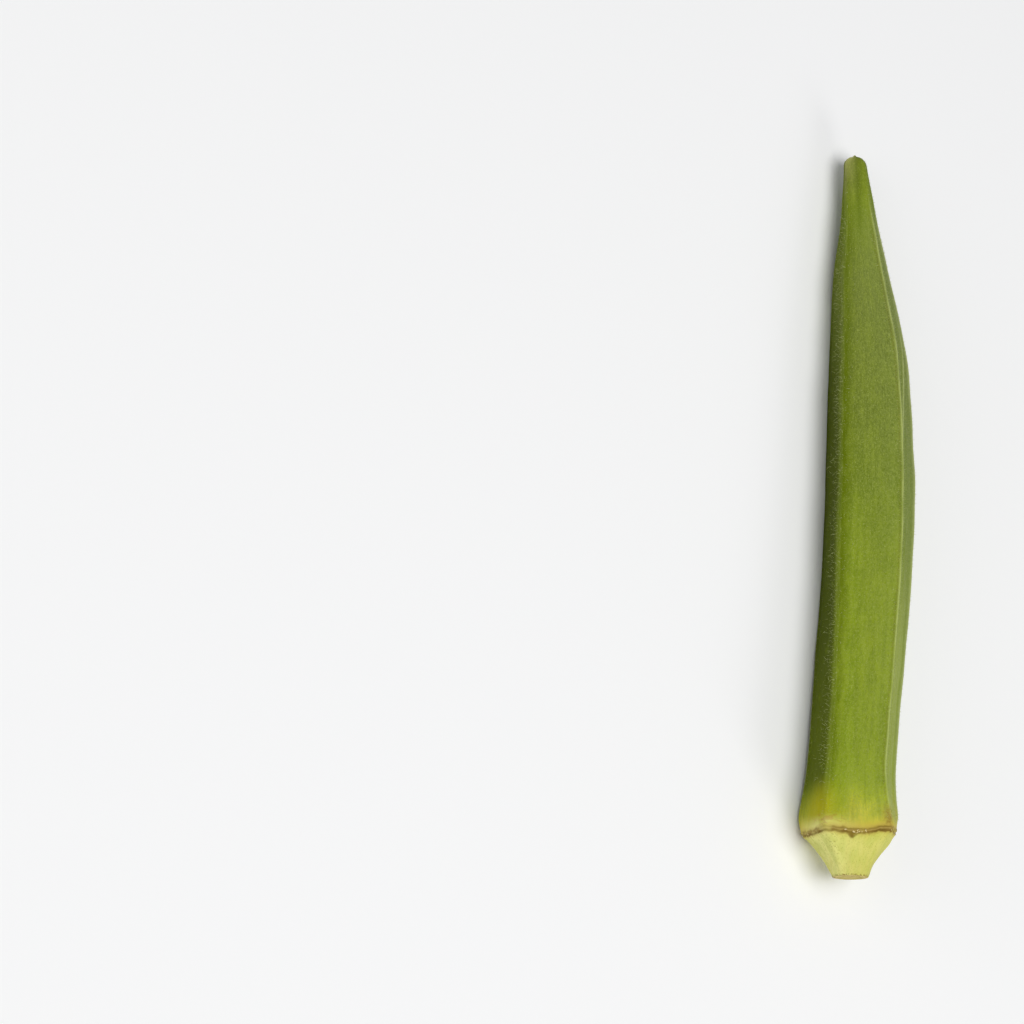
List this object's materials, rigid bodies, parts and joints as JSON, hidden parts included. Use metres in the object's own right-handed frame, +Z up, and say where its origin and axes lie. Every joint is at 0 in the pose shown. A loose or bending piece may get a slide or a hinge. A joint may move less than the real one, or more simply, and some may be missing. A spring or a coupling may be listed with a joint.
{
  "type": "okra pod",
  "caption": "Fresh ridged okra pod, slightly bowed, with a blunt tip, a scar ring and a pale cone-shaped cap cut at the stem, lying on its side.",
  "frame": {"origin": "under the middle of the pod's box, on the surface that it lies on", "axes": "+Y along the pod from its cut stem to its tip, +Z up as it lies, +X to the side that it bows towards"},
  "size_m": [0.021, 0.1266, 0.0155],
  "materials": {
    "pod_skin": "fresh okra skin, satin and finely hairy, yellow-green with paler ribs and a pale cap"
  },
  "bodies": {
    "root": {"okra_pod": "pod_skin"}
  },
  "joints": []
}
